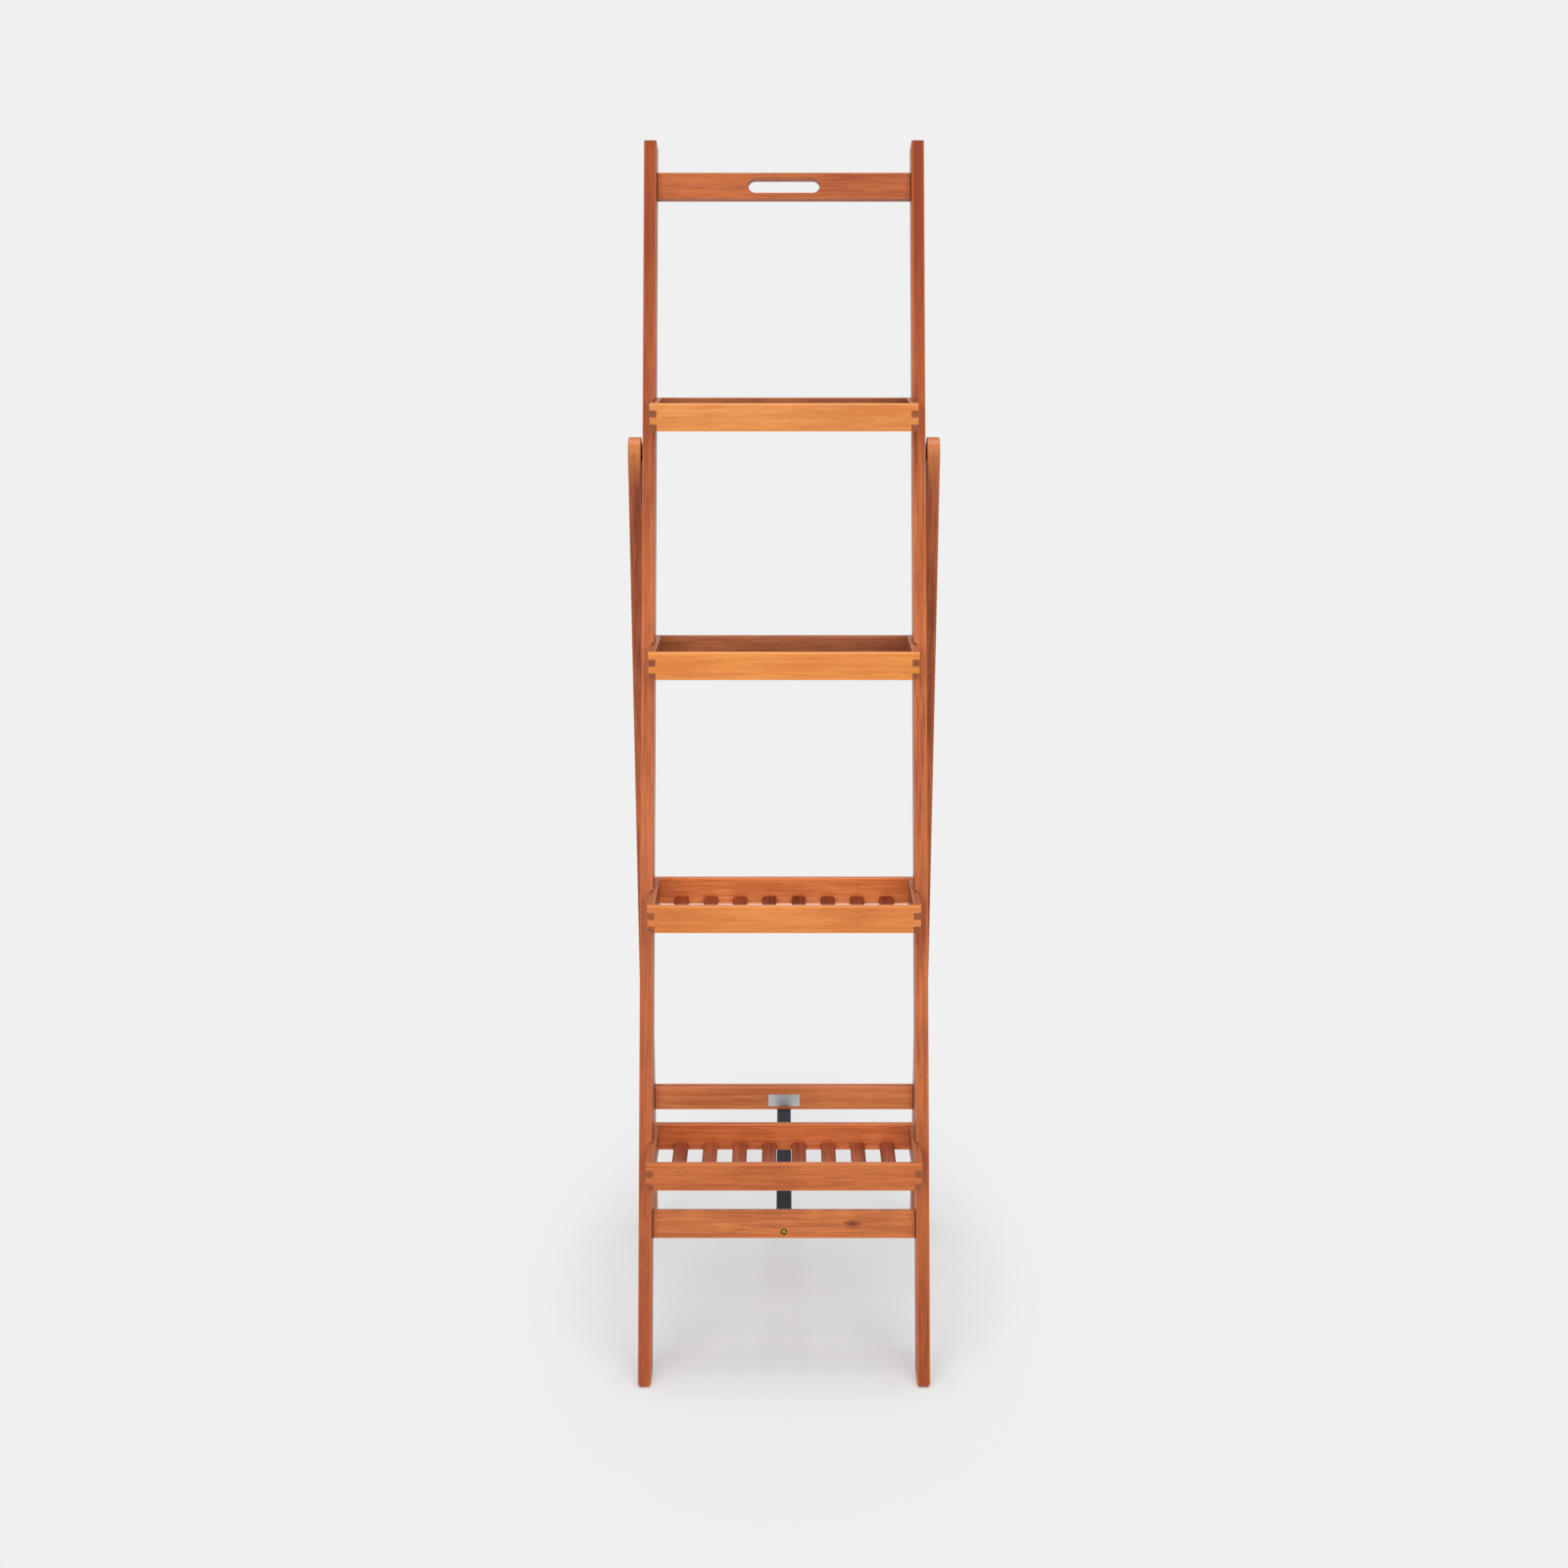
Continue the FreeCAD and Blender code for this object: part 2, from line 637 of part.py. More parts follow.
def make_side_board(label, place, side):
    """Side of a tray, with fingers at its ends and its lower outer edge well rounded."""
    body = new_body(label, place)
    thick = size("board_thick")
    deep = size("tray_deep") / 2
    outer = side * tray_half
    low_x = min(outer, outer - side * thick)
    box(body, "board", Vector(low_x, -deep, 0), Length="board_thick", Width="tray_deep", Height="tray_tall")

    def low_outer(edge):
        return edge.YLength > TOUCH and in_plane(edge.XMin, edge.XMax, outer) and edge.ZMax < TOUCH

    dress(body, "Fillet", "round", low_outer, Radius="min(tray_round; board_thick - arris)")

    def outside(edge):
        along = edge.YLength > deep
        on_top = edge.ZMin > size("tray_tall") - TOUCH
        at_inner_foot = edge.ZMax < TOUCH and in_plane(edge.XMin, edge.XMax, outer - side * thick)
        upright = in_plane(edge.XLength, edge.YLength, 0) and near(edge.XMin, outer)
        return along and (on_top or at_inner_foot) or upright

    dress(body, "Fillet", "arris", outside, Radius="arris")
    cut_fingers(body, 0, [(low_x, -deep), (low_x, deep - thick)])


def make_slats(label, place):
    """Row of slats with rounded upper edges, stub-tenoned into the front and back boards."""
    body = new_body(label, place)
    gap = (2 * tray_inside - size("slat_count") * size("slat_wide")) / (size("slat_count") + 1)
    half = size("tray_deep") / 2 - size("board_thick")
    corner = Vector(gap - tray_inside, -half, size("slat_lift"))
    box(body, "slat", corner, Length="slat_wide", Width="tray_deep - 2 * board_thick", Height="slat_thick")
    top = size("slat_lift") + size("slat_thick")
    dress(body, "Fillet", "round", lambda edge: edge.YLength > half and near(edge.ZMin, top),
          Radius="slat_round")
    shoulder = size("slat_shoulder")
    box(body, "tenons", corner + Vector(shoulder, -size("slat_tenon"), shoulder),
        Length="slat_wide - 2 * slat_shoulder", Width="tray_deep - 2 * board_thick + 2 * slat_tenon",
        Height="slat_thick - 2 * slat_shoulder")
    repeat_in_row(body, "row", "slat_count", f"(slat_count - 1) * (slat_wide + {SLAT_GAP})")


def make_tray(name, number):
    top = tray_top(number)
    front = front_edge(top) - size("tray_reach")
    place = Placement(Vector(0, front + size("tray_deep") / 2, top - size("tray_tall")), Rotation())
    make_long_board(f"{name}_front", place, -1)
    make_long_board(f"{name}_back", place, 1)
    for side_name, side in SIDES.items():
        make_side_board(f"{name}_{side_name}", place, side)
    make_slats(f"{name}_slats", place)


def check(part):
    """Stop where any object failed or any sub-part has no sound shape."""
    for thing in doc.Objects:
        if "Invalid" in thing.State or "Error" in thing.State:
            raise RuntimeError(f"{thing.Label} did not compute: {thing.State}")
    for node in part:
        if node.Shape.isNull() or not node.Shape.isValid() or not node.Shape.Solids:
            raise RuntimeError(f"{node.Label} has no sound shape")


make_front_frame()
for side_label, side_sign in SIDES.items():
    make_pivot(side_label, side_sign)
make_rear_legs()
make_strap()
make_strap_fasteners()
for tray_number, tray_name in enumerate(TRAY_NAMES):
    make_tray(tray_name, tray_number)
doc.recompute()
check(nodes)

os.makedirs("parts", exist_ok=True)
for node in nodes:
    node.Shape.exportStep(f"parts/{node.Label}.step")
print(f"{len(nodes)} sub-parts written")
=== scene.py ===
# %% [markdown]
# A folding tiered shelf in stained hardwood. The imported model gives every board, bolt and glide at its
# real size, in metres, so this lesson only dresses it: a camera and light like a product photograph, a
# stain for each board with the grain running along it, metals and plastics for the fittings, and a woven
# strap in place of the plain ribbon.

import math

import bpy
import numpy as np
from mathutils import Euler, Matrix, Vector


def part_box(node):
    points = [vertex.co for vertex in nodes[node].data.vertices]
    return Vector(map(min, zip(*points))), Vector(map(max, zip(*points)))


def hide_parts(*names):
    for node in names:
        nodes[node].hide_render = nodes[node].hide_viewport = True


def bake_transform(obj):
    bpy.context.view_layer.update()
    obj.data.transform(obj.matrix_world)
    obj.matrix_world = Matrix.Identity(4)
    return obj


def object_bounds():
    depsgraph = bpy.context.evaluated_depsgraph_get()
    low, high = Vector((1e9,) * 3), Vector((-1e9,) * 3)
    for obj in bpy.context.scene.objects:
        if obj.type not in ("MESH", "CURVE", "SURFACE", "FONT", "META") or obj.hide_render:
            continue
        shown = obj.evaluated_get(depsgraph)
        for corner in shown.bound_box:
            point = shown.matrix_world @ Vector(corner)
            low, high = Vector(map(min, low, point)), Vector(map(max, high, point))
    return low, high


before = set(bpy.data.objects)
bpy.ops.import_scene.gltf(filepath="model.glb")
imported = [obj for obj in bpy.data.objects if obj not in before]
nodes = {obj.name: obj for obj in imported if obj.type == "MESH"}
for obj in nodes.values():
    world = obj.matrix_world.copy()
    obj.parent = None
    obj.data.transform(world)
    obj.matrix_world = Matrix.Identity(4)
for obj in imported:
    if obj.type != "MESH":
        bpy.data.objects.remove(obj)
scene = bpy.context.scene
MM = 0.001
cad_low, cad_high = np.array(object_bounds())
print("nodes:", len(nodes), "size in mm:", np.round((cad_high - cad_low) / MM, 1))

# %% [markdown]
# The photograph was taken from straight in front, a little below the top of the shelf and looking
# slightly down. A normal 50 mm lens on a 36 mm frame, at the distance where the converging stiles match
# the picture, gives the same view.

# %% Camera
LENS_MM = 50.0
FRAME_MM = 36.0
EYE_AHEAD = 2545.6 * MM
EYE_HEIGHT = 1399 * MM
LOOK_DOWN = math.radians(13.28)

camera = bpy.data.objects.new("camera", bpy.data.cameras.new("camera"))
camera.data.lens = LENS_MM
camera.data.sensor_width = FRAME_MM
camera.location = (0.0, cad_low[1] - EYE_AHEAD, EYE_HEIGHT)
camera.rotation_euler = (math.pi / 2 - LOOK_DOWN, 0.0, 0.0)
scene.collection.objects.link(camera)
scene.camera = camera
scene.view_settings.view_transform = "Standard"
print("camera at", [round(value, 3) for value in camera.location])

# %% [markdown]
# A material is a network of nodes. One small function adds a node, sets it and links it, so each finish
# below reads as a list of what it is made of. Colours are written as the sRGB hex values that a colour
# picker shows, and one function turns them into the linear values that the renderer works in.


# %% Helpers for materials
def linear(hex_colour, share=1.0):
    """Linear RGBA of an sRGB hex colour, each channel back through the sRGB curve and taken to a share."""
    channels = np.array([int(hex_colour[i:i + 2], 16) for i in (1, 3, 5)]) / 255.0
    curved = ((channels + 0.055) / 1.055) ** 2.4
    return (*np.where(channels <= 0.04045, channels / 12.92, curved) * share, 1.0)


def add_node(tree, kind, sockets=None, **settings):
    """Add one node: settings are its properties, sockets holds values to set or outputs to link."""
    node = tree.nodes.new(kind)
    for name, value in settings.items():
        setattr(node, name, value)
    for name, value in (sockets or {}).items():
        if isinstance(value, bpy.types.NodeSocket):
            tree.links.new(value, node.inputs[name])
        else:
            node.inputs[name].default_value = value
    return node


def new_material(name):
    """Empty material; returns it with its node tree."""
    material = bpy.data.materials.new(name)
    material.use_nodes = True
    material.node_tree.nodes.clear()
    return material, material.node_tree


def surface(tree, shader):
    """Link a shader's first output to a new material output."""
    add_node(tree, "ShaderNodeOutputMaterial", {"Surface": shader.outputs[0]})


def dress(names, material):
    """Give packed objects a material as their only one."""
    for name in names:
        slots = nodes[name].data.materials
        slots.clear()
        slots.append(material)


print("linear value of mid grey:", round(float(linear("#808080")[0]), 4))

# %% [markdown]
# The floor and background of a product photograph are one pale sheet. Here the floor is a wide disc of
# matt paper. To the eye it fades out into an even pale world, so that no horizon shows, and a part of its
# brightness is its own, as in a sheet lit from behind, which keeps the soft shadow between the feet pale.
# For all other light it stays a whole sheet, which throws light up under the boards.

# %% Floor
FLOOR_RADIUS = 5.0
FLOOR_SIDES = 96
FADE_START = 0.42
FADE_END = 1.0
FADE_SQUEEZE = (2.4, 1.0, 1.0)
BACKGROUND = "#f0f0f0"
PAPER = "#f0f1f2"
GLOW_SHARE = 0.4


def shown(tree):
    """1 for a ray that shows things to the eye, straight, mirrored or through glass, and 0 for others."""
    rays = add_node(tree, "ShaderNodeLightPath")
    share = rays.outputs["Is Camera Ray"]
    for kind in ("Is Glossy Ray", "Is Transmission Ray"):
        share = add_node(tree, "ShaderNodeMath", {0: share, 1: rays.outputs[kind]},
                         operation="MAXIMUM").outputs[0]
    return share


angles = np.linspace(0.0, 2 * np.pi, FLOOR_SIDES, endpoint=False)
rim = FLOOR_RADIUS * np.stack([np.cos(angles), np.sin(angles), np.zeros(FLOOR_SIDES)], axis=1)
floor = bpy.data.objects.new("floor", bpy.data.meshes.new("floor"))
floor.data.from_pydata(rim.tolist(), [], [list(range(FLOOR_SIDES))])
scene.collection.objects.link(floor)

paper, tree = new_material("matt paper")
place = add_node(tree, "ShaderNodeTexCoord")
squeezed = add_node(tree, "ShaderNodeMapping", {"Vector": place.outputs["Object"], "Scale": FADE_SQUEEZE})
away = add_node(tree, "ShaderNodeVectorMath", {0: squeezed.outputs[0]}, operation="LENGTH")
fade = add_node(tree, "ShaderNodeMapRange", {"Value": away.outputs["Value"], "From Min": FADE_START,
                                             "From Max": FADE_END}, interpolation_type="SMOOTHSTEP")
matt = add_node(tree, "ShaderNodeBsdfDiffuse", {"Color": linear(PAPER)})
glow = add_node(tree, "ShaderNodeEmission", {"Color": linear(BACKGROUND)})
eye = shown(tree)
glowing, gone = [add_node(tree, "ShaderNodeMath", {0: eye, 1: part}, operation="MULTIPLY").outputs[0]
                 for part in (GLOW_SHARE, fade.outputs["Result"])]
lit = add_node(tree, "ShaderNodeMixShader", {0: glowing, 1: matt.outputs[0], 2: glow.outputs[0]})
clear = add_node(tree, "ShaderNodeBsdfTransparent")
surface(tree, add_node(tree, "ShaderNodeMixShader", {0: gone, 1: lit.outputs[0], 2: clear.outputs[0]}))
floor.data.materials.append(paper)
print("floor disc of", FLOOR_RADIUS, "m radius")

# %% [markdown]
# The light is a studio's: two big softboxes in front, left and right, and one high overhead that draws the
# soft shadow under the trays, with a pale room all round. The world shows an even pale grey to the camera
# and to mirror-like rays, and lights the rest more gently.

# %% World and lamps
AMBIENT = 0.4
WHITE = "#ffffff"
SHELF_MIDDLE = (0.0, 0.0, 0.8)
FLOOR_MIDDLE = (0.0, 0.0, 0.0)

world = bpy.data.worlds.new("studio")
scene.world = world
world.use_nodes = True
tree = world.node_tree
tree.nodes.clear()
room = add_node(tree, "ShaderNodeBackground", {"Color": linear(WHITE), "Strength": AMBIENT})
backdrop = add_node(tree, "ShaderNodeBackground", {"Color": linear(BACKGROUND), "Strength": 1.0})
sky = add_node(tree, "ShaderNodeMixShader", {0: shown(tree), 1: room.outputs[0], 2: backdrop.outputs[0]})
add_node(tree, "ShaderNodeOutputWorld", {"Surface": sky.outputs[0]})


def softbox(name, location, aim, width, watts):
    """Square area lamp at a location, its face turned to aim."""
    lamp = bpy.data.lights.new(name, "AREA")
    lamp.size = width
    lamp.energy = watts
    holder = bpy.data.objects.new(name, lamp)
    holder.location = location
    holder.rotation_euler = (Vector(aim) - Vector(location)).to_track_quat("-Z", "Y").to_euler()
    scene.collection.objects.link(holder)
    print(name, "of", watts, "W")


softbox("left_softbox", location=(-1.5, -3.2, 2.0), aim=SHELF_MIDDLE, width=2.0, watts=38.0)
softbox("right_softbox", location=(1.5, -3.2, 2.0), aim=SHELF_MIDDLE, width=2.0, watts=34.5)
softbox("top_softbox", location=(0.0, 0.0, 5.0), aim=FLOOR_MIDDLE, width=1.6, watts=83.0)

# %% [markdown]
# The wood is a plantation hardwood such as acacia, planed and sanded. Its figure is noise in the board's own
# directions: wide soft patches, and streaks, fibres and fine darker pores that are drawn out along the
# grain. Real pores are about 0.2 mm wide, too fine to show at this distance, so they are drawn three times
# as wide.

# %% Figure of the wood
PATCH_WIDTH = 160 * MM
PATCH_BEND = 0.5
STREAK_WIDTH = 8 * MM
STREAK_BEND = 0.6
FIBRE_WIDTH = 1.8 * MM
DRAWN_OUT = (0.04, 1.0, 1.0)
FIGURE_SPAN = (1.25, 1.75)
PORE_WIDTH = 0.6 * MM
PORE_SPAN = (0.58, 0.75)


def wood_figure(tree, board, seed):
    """Noise for one board: its streaks, the whole figure, how deep the figure stains and where pores are."""
    grain = add_node(tree, "ShaderNodeVectorMath", {0: board, 1: DRAWN_OUT}, operation="MULTIPLY").outputs[0]
    patches, streaks, fibres, specks = [
        add_node(tree, "ShaderNodeTexNoise", {"Vector": way, "W": seed, "Scale": 1 / width,
                                              "Distortion": bend}, noise_dimensions="4D").outputs["Fac"]
        for way, width, bend in ((board, PATCH_WIDTH, PATCH_BEND), (grain, STREAK_WIDTH, STREAK_BEND),
                                 (grain, FIBRE_WIDTH, 0.0), (grain, PORE_WIDTH, 0.0))]
    figure = add_node(tree, "ShaderNodeMath", {0: patches, 1: streaks}, operation="ADD").outputs[0]
    figure = add_node(tree, "ShaderNodeMath", {0: figure, 1: fibres}, operation="ADD").outputs[0]
    depth, pores = [
        add_node(tree, "ShaderNodeMapRange", {"Value": value, "From Min": least, "From Max": most}).outputs[0]
        for value, (least, most) in ((figure, FIGURE_SPAN), (specks, PORE_SPAN))]
    return streaks, figure, depth, pores


print("pores drawn", round(PORE_WIDTH / MM, 2), "mm wide, streaks", round(STREAK_WIDTH / MM, 2), "mm wide")

# %% [markdown]
# The boards were dipped in an orange-brown oil stain, which gives them a warm even colour and a satin sheen.
# It lies deeper in the dark parts of the figure and in the pores. End grain drinks more of it, so the finger
# ends at the tray corners are darker. The long edges along the grain are painted paler, as a painted
# highlight, and each rail has a dark line of painted shade where it meets a stile or leg. The stiles are
# darker towards both ends, and the rounded tops of the rear legs are painted paler, as a painted highlight.
# Each of these is a layer of colour over the ones before it.

# %% Stained hardwood
PORE_SHADE = 0.65
PORE_DEPTH = 0.04 * MM
PORE_STRENGTH = 0.5
END_SKIN = 0.4 * MM
END_SHARE = 0.36
END_SHADE = 0.35
# Painted highlight: the width and brightness of the paler band along the long edges
EDGE_HIGHLIGHT_WIDTH = 2.5 * MM
EDGE_HIGHLIGHT_SHADE = 1.08
# Painted shade: the width and darkness of the line where a rail meets a stile or leg
JOINT_SHADOW_WIDTH = 1.6 * MM
JOINT_SHADOW_SHADE = 0.12
KNOT_SIZE = (15 * MM, 60 * MM, 7 * MM)
KNOT_SPAN = (0.7, 1.5)
KNOT_SHARE = 0.9
KNOT_TONE = "#682408"
SATIN_SPAN = (1.2, 1.8)
SATIN_ROUGHNESS = (0.36, 0.48)
SATIN_SHINE = 0.3


def stained_hardwood(name, pale, deep, turn, seed, drifts=(), shoulder=None, knot=None):
    """Oil-stained hardwood for one board, its grain along X after the turn. Each drift takes the stain to a
    share of another tone between two places along the board, counted from -1 at one end to 1 at the other.
    At a shoulder's distance from the middle a dark line is painted, as painted shade in the joint where the
    board meets another, and a knot is a place on the board."""
    spin = np.array(Euler(turn).to_matrix())
    points = np.array([vertex.co for vertex in nodes[name].data.vertices]) @ spin.T
    low, high = points.min(axis=0), points.max(axis=0)

    material, tree = new_material(f"oil-stained hardwood of {name}")
    place = add_node(tree, "ShaderNodeTexCoord")
    board = add_node(tree, "ShaderNodeMapping", {"Vector": place.outputs["Object"], "Rotation": turn,
                                                 "Location": tuple(-(low + high) / 2)}).outputs[0]
    streaks, figure, depth, pores = wood_figure(tree, board, seed)
    half = (high - low) / 2
    from_middle = add_node(tree, "ShaderNodeVectorMath", {0: board}, operation="ABSOLUTE").outputs[0]
    along, across, through = add_node(tree, "ShaderNodeSeparateXYZ", {0: from_middle}).outputs
    ends = add_node(tree, "ShaderNodeMapRange", {"Value": along, "From Min": half[0] - END_SKIN,
                                                 "From Max": half[0], "To Max": END_SHARE}).outputs[0]
    # Painted highlight along the long edges of the board
    rims = [add_node(tree, "ShaderNodeMapRange", {"Value": value, "From Min": edge - EDGE_HIGHLIGHT_WIDTH,
                                                  "From Max": edge}).outputs[0]
            for value, edge in ((across, half[1]), (through, half[2]))]
    edge_highlight = add_node(tree, "ShaderNodeMath", {0: rims[0], 1: rims[1]}, operation="MULTIPLY").outputs[0]
    layers = [(depth, linear(deep)), (pores, linear(deep, PORE_SHADE)),
              (edge_highlight, linear(pale, EDGE_HIGHLIGHT_SHADE)), (ends, linear(deep, END_SHADE))]
    for (start, stop), most, stain in drifts:
        length = add_node(tree, "ShaderNodeSeparateXYZ", {0: board}).outputs[0]
        drift = add_node(tree, "ShaderNodeMapRange", {
            "Value": length, "From Min": start * half[0], "From Max": stop * half[0],
            "To Max": most}).outputs[0]
        layers.insert(1, (drift, linear(stain)))
    # Painted shade in the joint, a dark line just inside the shoulder
    if shoulder is not None:
        joint_shadow = add_node(tree, "ShaderNodeMapRange", {"Value": along, "From Min": shoulder - JOINT_SHADOW_WIDTH,
                                                     "From Max": shoulder - JOINT_SHADOW_WIDTH / 2}).outputs[0]
        layers.append((joint_shadow, linear(deep, JOINT_SHADOW_SHADE)))
    if knot is not None:
        offset = add_node(tree, "ShaderNodeVectorMath", {0: board, 1: knot}, operation="SUBTRACT").outputs[0]
        offset = add_node(tree, "ShaderNodeVectorMath", {0: offset, 1: KNOT_SIZE},
                          operation="DIVIDE").outputs[0]
        away = add_node(tree, "ShaderNodeVectorMath", {0: offset}, operation="LENGTH").outputs["Value"]
        away = add_node(tree, "ShaderNodeMath", {0: away, 1: streaks}, operation="ADD").outputs[0]
        core = add_node(tree, "ShaderNodeMapRange", {
            "Value": away, "From Min": KNOT_SPAN[0], "From Max": KNOT_SPAN[1],
            "To Min": KNOT_SHARE, "To Max": 0.0}).outputs[0]
        layers.append((core, linear(KNOT_TONE)))
    colour = linear(pale)
    for share, stain in layers:
        colour = add_node(tree, "ShaderNodeMix", {0: share, 6: colour, 7: stain}, data_type="RGBA").outputs[2]
    satin = add_node(tree, "ShaderNodeMapRange", {
        "Value": figure, "From Min": SATIN_SPAN[0], "From Max": SATIN_SPAN[1],
        "To Min": SATIN_ROUGHNESS[0], "To Max": SATIN_ROUGHNESS[1]}).outputs[0]
    dents = add_node(tree, "ShaderNodeBump", {"Height": pores, "Distance": PORE_DEPTH,
                                              "Strength": PORE_STRENGTH}, invert=True).outputs[0]
    surface(tree, add_node(tree, "ShaderNodeBsdfPrincipled", {
        "Base Color": colour, "Roughness": satin, "Normal": dents, "Specular IOR Level": SATIN_SHINE}))
    dress([name], material)


print("end grain takes", END_SHARE, "of its dark tone")

# %% [markdown]
# The boards were cut from different planks, so most have their own pair of stain tones, pale and deep, and
# each has its own patch of figure. For a tray the pairs are those of its front, its back and its slats. The
# backs of the top two trays are painted darker, as painted shade cast by their fronts, and the backs of the
# lower two paler, as painted light from above. The grain follows the long way of every board: up the
# leaning stiles and the splayed legs, across the rails and the fronts and backs of the trays, and front to
# back in their sides and slats.

# %% A stain for every board
LEAN = math.radians(17.6)
SPLAY = math.radians(5.1)
ACROSS = (0.0, 0.0, 0.0)
ACROSS_STILES = (LEAN, 0.0, 0.0)
ACROSS_LEGS = (-SPLAY, 0.0, 0.0)
BACKWARDS = (0.0, 0.0, -math.pi / 2)
UP_STILE = (LEAN, math.pi / 2, 0.0)
UP_LEG = (-SPLAY, math.pi / 2, 0.0)
FOOT = (-0.4, -0.85)
TOP = (0.4, 0.85)
TIP = (0.89, 0.985)
# Tone that the stiles darken to towards both ends
DARKER_END_TONE = "#842f0d"
# Painted highlight on the rounded tops of the rear legs
PAINTED_TIP_HIGHLIGHT = "#e28e48"
TRAY_SIDE = ("#bb693b", "#934925")
SEED_STEP = 1.7

boards = [
    ("left_stile", "#ca6b37", "#984620", UP_STILE),
    ("right_stile", "#d17237", "#9b471d", UP_STILE),
    ("top_rail", "#c36b38", "#9c4927", ACROSS_STILES),
    ("front_stretcher", "#d67d41", "#ae5c2d", ACROSS_STILES),
    ("left_rear_leg", "#c87044", "#934828", UP_LEG),
    ("right_rear_leg", "#c06a3e", "#8c4324", UP_LEG),
    ("rear_stretcher", "#e2854d", "#bb6533", ACROSS_LEGS),
]
# The backs of the top two trays hold painted shade, and those of the lower two painted light
tray_tones_with_painted_light = {
    "top_tray": (("#ec9a50", "#d67e3b"), ("#ba7144", "#8a4b2b"), ("#b86643", "#8a4226")),
    "upper_tray": (("#f0994a", "#db7f37"), ("#bd7346", "#8c4c2b"), ("#b86643", "#8a4226")),
    "lower_tray": (("#e78f48", "#cd7234"), ("#fa9354", "#d06e34"), ("#a04a2c", "#702b17")),
    "bottom_tray": (("#d4783c", "#b45a2b"), ("#e88249", "#bc5d2b"), ("#b86643", "#8a4226")),
}
for tray, (front, back, slats) in tray_tones_with_painted_light.items():
    boards.append((f"{tray}_front", *front, ACROSS))
    boards.append((f"{tray}_back", *back, ACROSS))
    boards.append((f"{tray}_left", *TRAY_SIDE, BACKWARDS))
    boards.append((f"{tray}_right", *TRAY_SIDE, BACKWARDS))
    boards.append((f"{tray}_slats", *slats, BACKWARDS))
between_stiles = -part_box("left_stile")[1][0]
between_legs = -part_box("left_rear_leg")[1][0]
shoulders = {"top_rail": between_stiles, "front_stretcher": between_stiles, "rear_stretcher": between_legs}
drifts = {
    # The stiles are darker towards both ends
    "left_stile": ((FOOT, 0.4, DARKER_END_TONE), (TOP, 0.64, DARKER_END_TONE)),
    "right_stile": ((FOOT, 0.5, DARKER_END_TONE), (TOP, 0.85, DARKER_END_TONE)),
    # Painted highlight: the rounded tops of the rear legs are paler
    "left_rear_leg": ((TIP, 0.65, PAINTED_TIP_HIGHLIGHT),),
    "right_rear_leg": ((TIP, 0.55, PAINTED_TIP_HIGHLIGHT),),
}
knots = {"front_stretcher": (89 * MM, 0.0, 0.0)}
for number, (name, pale, deep, turn) in enumerate(boards):
    stained_hardwood(name, pale, deep, turn, SEED_STEP * number, drifts.get(name, ()),
                     shoulders.get(name), knots.get(name))
print("stained boards:", len(boards))

# %% [markdown]
# The fittings are stock parts. Zinc-plated steel is a cool grey with a faint cloudy lustre, the brass insert
# has tarnished dark, the bolt in it is plated in yellow zinc, the glides and spacers are moulded plastic with
# a fine grain, and the plate on the rear stretcher is brushed aluminium. Each is one colour that drifts to a
# second one over a few millimetres, as plating, tarnish and handling leave it, with a roughness that drifts
# along and a fine relief.

# %% Metals and plastics
CLOUD_WIDTH = 3 * MM
CLOUD_SPAN = (0.35, 0.65)
GLOSS_DRIFT = 0.15
RELIEF_WIDTH = 0.5 * MM
SMOOTH = 0.01 * MM
SCRATCHED = 0.02 * MM
GRAINED = 0.05 * MM
BRUSHED = (0.05, 1.0, 1.0)
METAL = 1.0
PLASTIC = 0.0


def stock_finish(name, colour, other, metallic, roughness, relief, brushed=(1.0, 1.0, 1.0)):
    """Surface that drifts between two colours, its fine relief drawn out where it was brushed."""
    material, tree = new_material(name)
    place = add_node(tree, "ShaderNodeTexCoord")
    worn = add_node(tree, "ShaderNodeVectorMath", {0: place.outputs["Object"], 1: brushed},
                    operation="MULTIPLY").outputs[0]
    cloud, grain = [add_node(tree, "ShaderNodeTexNoise", {"Vector": worn, "Scale": 1 / width}).outputs["Fac"]
                    for width in (CLOUD_WIDTH, RELIEF_WIDTH)]
    drift = add_node(tree, "ShaderNodeMapRange", {"Value": cloud, "From Min": CLOUD_SPAN[0],
                                                  "From Max": CLOUD_SPAN[1]}).outputs[0]
    tone = add_node(tree, "ShaderNodeMix", {0: drift, 6: linear(colour), 7: linear(other)},
                    data_type="RGBA").outputs[2]
    gloss = add_node(tree, "ShaderNodeMapRange", {"Value": drift, "To Min": roughness * (1 - GLOSS_DRIFT),
                                                  "To Max": roughness * (1 + GLOSS_DRIFT)}).outputs[0]
    dents = add_node(tree, "ShaderNodeBump", {"Height": grain, "Distance": relief}).outputs[0]
    surface(tree, add_node(tree, "ShaderNodeBsdfPrincipled", {
        "Base Color": tone, "Metallic": metallic, "Roughness": gloss, "Normal": dents}))
    return material


zinc = stock_finish("zinc-plated steel", "#b9bcc0", "#a3a7ad", METAL, 0.35, SMOOTH)
yellow_zinc = stock_finish("yellow zinc-plated steel", "#a88d58", "#8c7342", METAL, 0.4, SMOOTH)
brass = stock_finish("tarnished turned brass", "#5f4a26", "#4a3519", METAL, 0.5, SMOOTH)
aluminium = stock_finish("brushed aluminium", "#dcdee0", "#c6c9cc", METAL, 0.5, SCRATCHED, BRUSHED)
black_plastic = stock_finish("moulded black plastic", "#1d1d1e", "#252526", PLASTIC, 0.5, GRAINED)
grey_plastic = stock_finish("moulded dark grey plastic", "#2f2f31", "#37373a", PLASTIC, 0.45, GRAINED)

